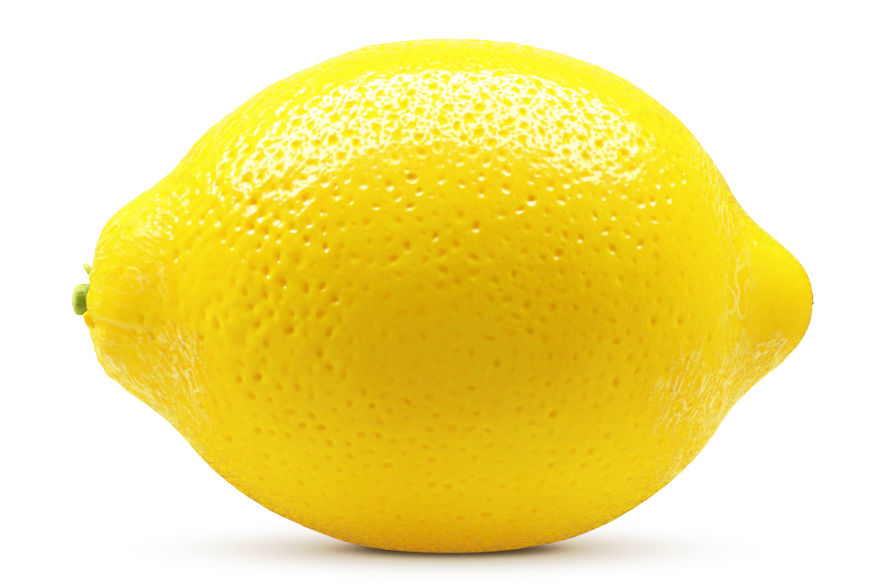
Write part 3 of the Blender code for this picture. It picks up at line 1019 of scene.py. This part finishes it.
def build_calyx(mat):
    n = 240
    azimuth = np.arange(n) * (2.0 * math.pi / n)
    reach, curl = sepal_outline(azimuth)
    one = np.ones(n)

    rings, tips = [], []

    def ring(radius, lift):
        y, z = radius * np.cos(azimuth), STEM_Z + radius * np.sin(azimuth)
        x = end_surface_x(y, z, -1) - lift
        rings.append(np.stack((x, y, z), axis=-1))
        tips.append(np.clip((radius - 2.7) / 1.0, 0.0, 1.0) * one)

    low = GAP
    seat = STEM_RADIUS + 0.22
    floor = float(end_surface_x(np.array([0.0]), np.array([STEM_Z]), -1)[0])
    seat_x = floor - GAP - 0.30
    # the seat of the stem, from its middle out
    for radius in (0.5, 1.1, 1.6, seat - 0.10):
        y, z = radius * np.cos(azimuth), STEM_Z + radius * np.sin(azimuth)
        rings.append(np.stack((np.full(n, seat_x), y, z), axis=-1))
        tips.append(np.zeros(n))
    ring(seat * one, low + CALYX_THICK + 0.02)
    ring((seat + 0.06) * one, low + CALYX_THICK + 0.10)
    ring((seat + 0.16) * one, low + CALYX_THICK + 0.15)
    ring((seat + 0.30) * one, low + CALYX_THICK + 0.12)
    for t in (0.25, 0.5, 0.72, 0.88, 0.96):
        radius = seat + 0.30 + (reach - seat - 0.30) * t
        ring(radius, low + CALYX_THICK * (1.0 - 0.12 * t) + curl * t**1.6)
    # the sepals' fleshy ends stay close to the peel underneath
    ring(reach, low + 0.74 * CALYX_THICK + 0.80 * curl)
    ring(1.005 * reach, low + 0.48 * CALYX_THICK + 0.45 * curl)
    ring(0.985 * reach, low + 0.18 * CALYX_THICK + 0.18 * curl)
    for t in (0.85, 0.6, 0.3):
        radius = seat + 0.30 + (reach - seat - 0.30) * t
        ring(radius, low + curl * t**1.6 * 0.12)
    for radius in (1.9, 1.4, 0.8):
        ring(radius * one, low * one)
    rings = np.array(rings)
    obj = lathe(
        "calyx_button",
        rings,
        (seat_x, 0.0, STEM_Z),
        (floor - GAP, 0.0, STEM_Z),
        mat,
        ("tip", np.array(tips)),
    )
    return obj, seat_x


def build_scar(mat):
    n = 96
    azimuth = np.arange(n) * (2.0 * math.pi / n)
    uneven = 1.0 + 0.10 * np.cos(3.0 * azimuth + 0.8) + 0.06 * np.cos(5.0 * azimuth)
    uneven += 0.03 * np.cos(11.0 * azimuth + 2.0)
    rings = []

    def ring(scale, lift):
        r = SCAR_RADIUS * scale * uneven
        y, z = 0.8 * r * np.cos(azimuth), SCAR_Z + r * np.sin(azimuth)
        x = end_surface_x(y, z, +1) + lift
        rings.append(np.stack((x, y, z), axis=-1))

    for s in (0.2, 0.5, 0.8, 0.95):
        ring(s, GAP)
    ring(1.0, GAP + 0.08)
    for s, lift in ((0.97, 0.12), (0.90, 0.17), (0.75, 0.20), (0.55, 0.18), (0.35, 0.16), (0.15, 0.17)):
        ring(s, GAP + lift)
    rings = np.array(rings)
    flatp = rings.reshape(-1, 3)
    flatp[:, 0] += 0.05 * noise(flatp, 0.35, 31) * (np.arange(len(flatp)) >= 5 * n)
    rings = flatp.reshape(rings.shape)
    tip = float(end_surface_x(np.array([0.0]), np.array([SCAR_Z]), +1)[0])
    return lathe(
        "style_scar_flake",
        rings,
        (tip + GAP, 0.0, SCAR_Z),
        (tip + GAP + 0.17, 0.0, SCAR_Z),
        mat,
    )


peel, z_shift = build_peel(peel_material())
BODY_AT = SHIFT + np.array((0.0, 0.0, z_shift))
calyx, seat_x = build_calyx(calyx_material())
stem = build_stem(stem_material(), seat_x)
scar = build_scar(scar_material())

for piece, node, slot in (
    (peel, "fruit", "lemon_peel"),
    (calyx, "calyx", "calyx_green"),
    (stem, "stem", "stem_green"),
    (scar, "style_scar", "scar_brown"),
):
    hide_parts(node)
    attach(piece, "root")

# =====================================================================
# Floor, light and camera
# =====================================================================
scene = bpy.context.scene
view = scene.view_settings
view.view_transform = "Standard"
view.look = "None"
view.exposure = 0.0
view.gamma = 1.0

# a photographic shoulder, so that highlights roll off as they do on a print
VIEW_WHITE = 2.2
SHOULDER = ((0.0, 0.0), (0.35, 0.355), (0.55, 0.585), (0.72, 0.72), (0.90, 0.83), (1.08, 0.915), (1.30, 0.955), (1.65, 0.980), (VIEW_WHITE, 1.0))
BLUE_BLACK = 0.0026
view.use_curve_mapping = True
curves = view.curve_mapping
curves.white_level = (VIEW_WHITE, VIEW_WHITE, VIEW_WHITE)
curves.black_level = (0.0, 0.0, BLUE_BLACK)
points = curves.curves[3].points
points[0].location = (0.0, 0.0)
points[1].location = (1.0, 1.0)
for x_in, y_out in SHOULDER[1:-1]:
    points.new(x_in / VIEW_WHITE, y_out)
curves.update()


def floor_material(bounced, glow, mirrored):
    """White floor. The camera sees a painted emission: white, with a painted soft contact shadow
    where the fruit closes off the sky. Other rays see dim paper plus a painted glow about the fruit, which lights it
    from below."""
    mat = bpy.data.materials.new("floor_white")
    mat.use_nodes = True
    tree = mat.node_tree
    for node in list(tree.nodes):
        tree.nodes.remove(node)
    out = tree.nodes.new("ShaderNodeOutputMaterial")
    path = tree.nodes.new("ShaderNodeLightPath")

    open_ = tree.nodes.new("ShaderNodeAmbientOcclusion")
    open_.samples = 24
    open_.inputs["Distance"].default_value = 1.0
    ramp = tree.nodes.new("ShaderNodeValToRGB")
    stops = SHADOW
    while len(ramp.color_ramp.elements) < len(stops):
        ramp.color_ramp.elements.new(0.5)
    for element, (at, colour) in zip(ramp.color_ramp.elements, stops):
        element.position = at
        element.color = (*(c / 2.5 for c in colour), 1.0)
    # what the camera sees: a painted soft contact shadow, coloured from the occlusion ramp
    seen = tree.nodes.new("ShaderNodeEmission")
    seen.inputs["Strength"].default_value = 2.5
    tree.links.new(open_.outputs["AO"], ramp.inputs["Fac"])
    tree.links.new(ramp.outputs["Color"], seen.inputs["Color"])

    paper = tree.nodes.new("ShaderNodeBsdfDiffuse")
    paper.inputs["Color"].default_value = (bounced, bounced, bounced, 1.0)
    # painted glow: the floor glows about the fruit, most in a ring, less at the contact, and lights it from below
    painted_floor_glow = tree.nodes.new("ShaderNodeEmission")
    where = tree.nodes.new("ShaderNodeTexCoord")
    far = tree.nodes.new("ShaderNodeVectorMath")
    far.operation = "LENGTH"
    fade = tree.nodes.new("ShaderNodeMapRange")
    fade.interpolation_type = "SMOOTHSTEP"
    fade.inputs["From Min"].default_value = 0.050
    fade.inputs["From Max"].default_value = 0.118
    fade.inputs["To Min"].default_value = glow
    fade.inputs["To Max"].default_value = 0.0
    tree.links.new(where.outputs["Object"], far.inputs[0])
    tree.links.new(far.outputs["Value"], fade.inputs["Value"])
    near = tree.nodes.new("ShaderNodeMapRange")
    near.interpolation_type = "SMOOTHSTEP"
    near.inputs["From Min"].default_value = 0.008
    near.inputs["From Max"].default_value = 0.050
    near.inputs["To Min"].default_value = 0.54
    near.inputs["To Max"].default_value = 1.0
    tree.links.new(far.outputs["Value"], near.inputs["Value"])
    both = tree.nodes.new("ShaderNodeMath")
    both.operation = "MULTIPLY"
    tree.links.new(fade.outputs["Result"], both.inputs[0])
    tree.links.new(near.outputs["Result"], both.inputs[1])
    tree.links.new(both.outputs["Value"], painted_floor_glow.inputs["Strength"])
    # close to the fruit the painted glow is warmer, a painted stand-in for light bounced through the fruit
    painted_glow_warmth = tree.nodes.new("ShaderNodeValToRGB")
    painted_glow_warmth.color_ramp.interpolation = "EASE"
    painted_glow_warmth.color_ramp.elements[0].position = 0.006
    painted_glow_warmth.color_ramp.elements[0].color = (1.0, 0.72, 0.16, 1.0)
    painted_glow_warmth.color_ramp.elements[1].position = 0.042
    painted_glow_warmth.color_ramp.elements[1].color = (1.0, 1.0, 1.0, 1.0)
    tree.links.new(far.outputs["Value"], painted_glow_warmth.inputs["Fac"])
    tree.links.new(painted_glow_warmth.outputs["Color"], painted_floor_glow.inputs["Color"])
    body = tree.nodes.new("ShaderNodeAddShader")
    tree.links.new(paper.outputs["BSDF"], body.inputs[0])
    tree.links.new(painted_floor_glow.outputs["Emission"], body.inputs[1])
    mirror = tree.nodes.new("ShaderNodeEmission")
    mirror.inputs["Strength"].default_value = mirrored

    glossy = tree.nodes.new("ShaderNodeMixShader")
    camera_ = tree.nodes.new("ShaderNodeMixShader")
    tree.links.new(path.outputs["Is Glossy Ray"], glossy.inputs["Fac"])
    tree.links.new(body.outputs["Shader"], glossy.inputs[1])
    tree.links.new(mirror.outputs["Emission"], glossy.inputs[2])
    tree.links.new(path.outputs["Is Camera Ray"], camera_.inputs["Fac"])
    tree.links.new(glossy.outputs["Shader"], camera_.inputs[1])
    tree.links.new(seen.outputs["Emission"], camera_.inputs[2])
    tree.links.new(camera_.outputs["Shader"], out.inputs["Surface"])
    return mat


# the painted shadow on the floor: its colour to the camera, by how open the sky is above it
SHADOW = (
    (0.000, (0.055, 0.034, 0.014)),
    (0.045, (0.120, 0.075, 0.030)),
    (0.080, (0.280, 0.190, 0.100)),
    (0.105, (0.580, 0.450, 0.290)),
    (0.200, (0.700, 0.610, 0.490)),
    (0.310, (0.900, 0.810, 0.700)),
    (0.420, (1.050, 1.000, 0.920)),
    (0.520, (1.300, 1.250, 1.180)),
    (0.610, (1.800, 1.800, 1.740)),
    (0.700, (2.400, 2.400, 2.400)),
)


def disc(name, radius, z, mat, segments=96):
    mesh = bpy.data.meshes.new(name)
    ring = [
        (
            radius * math.cos(2 * math.pi * i / segments),
            radius * math.sin(2 * math.pi * i / segments),
            z,
        )
        for i in range(segments)
    ]
    mesh.from_pydata(ring, [], [list(range(segments))])
    mesh.materials.append(mat)
    obj = bpy.data.objects.new(name, mesh)
    scene.collection.objects.link(obj)
    return obj


floor = disc("floor", 1.2, 0.0, floor_material(0.13, 1.20, 0.05))

FILL = 0.0
world = bpy.data.worlds.new("studio")
scene.world = world
world.use_nodes = True
wt = world.node_tree
for node in list(wt.nodes):
    wt.nodes.remove(node)
w_out = wt.nodes.new("ShaderNodeOutputWorld")
w_mix = wt.nodes.new("ShaderNodeMixShader")
w_path = wt.nodes.new("ShaderNodeLightPath")
w_seen = wt.nodes.new("ShaderNodeBackground")
w_lit = wt.nodes.new("ShaderNodeBackground")
w_seen.inputs["Color"].default_value = (1.0, 1.0, 1.0, 1.0)
w_seen.inputs["Strength"].default_value = 2.5
w_lit.inputs["Color"].default_value = (1.0, 1.0, 1.0, 1.0)
w_lit.inputs["Strength"].default_value = FILL
wt.links.new(w_path.outputs["Is Camera Ray"], w_mix.inputs["Fac"])
wt.links.new(w_lit.outputs["Background"], w_mix.inputs[1])
wt.links.new(w_seen.outputs["Background"], w_mix.inputs[2])
wt.links.new(w_mix.outputs["Shader"], w_out.inputs["Surface"])


def area(name, at, turn, size, radiance, diffuse=True, glossy=True):
    """A rectangular light of the given radiance. It faces down before its turn."""
    data = bpy.data.lights.new(name, "AREA")
    data.shape = "RECTANGLE"
    data.size, data.size_y = size
    data.energy = radiance * 4.0 * size[0] * size[1]
    obj = bpy.data.objects.new(name, data)
    obj.location = at
    obj.rotation_euler = tuple(math.radians(t) for t in turn)
    obj.visible_camera = False
    obj.visible_diffuse = diffuse
    obj.visible_glossy = glossy
    scene.collection.objects.link(obj)
    return obj


BOX_AT, BOX_SIZE = (-0.10, 0.078, 0.53), (1.14, 0.465)
area("softbox_body", (BOX_AT[0], -0.02, BOX_AT[2]), (0, 0, 0), BOX_SIZE, 4.10, glossy=False)
# the mirrored face hangs a little lower, or the first would hide it
GLOSS_AT = (BOX_AT[0], BOX_AT[1], BOX_AT[2] - 0.02)
area("softbox_gloss", GLOSS_AT, (0, 0, 0), BOX_SIZE, 7.6, diffuse=False)
# and its middle is the brightest
area(
    "softbox_core",
    (GLOSS_AT[0], GLOSS_AT[1], GLOSS_AT[2] - 0.02),
    (0, 0, 0),
    (0.80, BOX_SIZE[1]),
    3.0,
    diffuse=False,
)
# a pale backdrop, seen only as the thin pale rim along the fruit's upper edge
for far, wide, high, radiance in ((0.90, 0.56, 0.46, 0.38), (0.92, 0.95, 0.64, 0.22)):
    area("backdrop", (-0.08, far, 0.5 * high), (-90, 0, 0), (wide, high), radiance, diffuse=False)
# a white card on each side
for side in (-1, 1):
    area(
        "card_left" if side < 0 else "card_right",
        (side * 0.42, 0.02, 0.20),
        (0, side * 90, 0),
        (0.36, 0.50),
        2.4,
        glossy=False,
    )

DISTANCE = 0.90
ELEVATION = math.radians(5.0)
camera_data = bpy.data.cameras.new("camera")
camera_data.sensor_width = 36.0
camera_data.lens = 36.0 * DISTANCE / (882 * 0.11667 * MM)
camera_data.clip_start = 0.01
camera_data.clip_end = 20.0
camera = bpy.data.objects.new("camera", camera_data)
target = Vector((-0.0002, 0.0, 0.0299))
camera.location = target + Vector(
    (0.0, -DISTANCE * math.cos(ELEVATION), DISTANCE * math.sin(ELEVATION))
)
camera.rotation_euler = (target - camera.location).to_track_quat("-Z", "Y").to_euler()
scene.collection.objects.link(camera)
scene.camera = camera
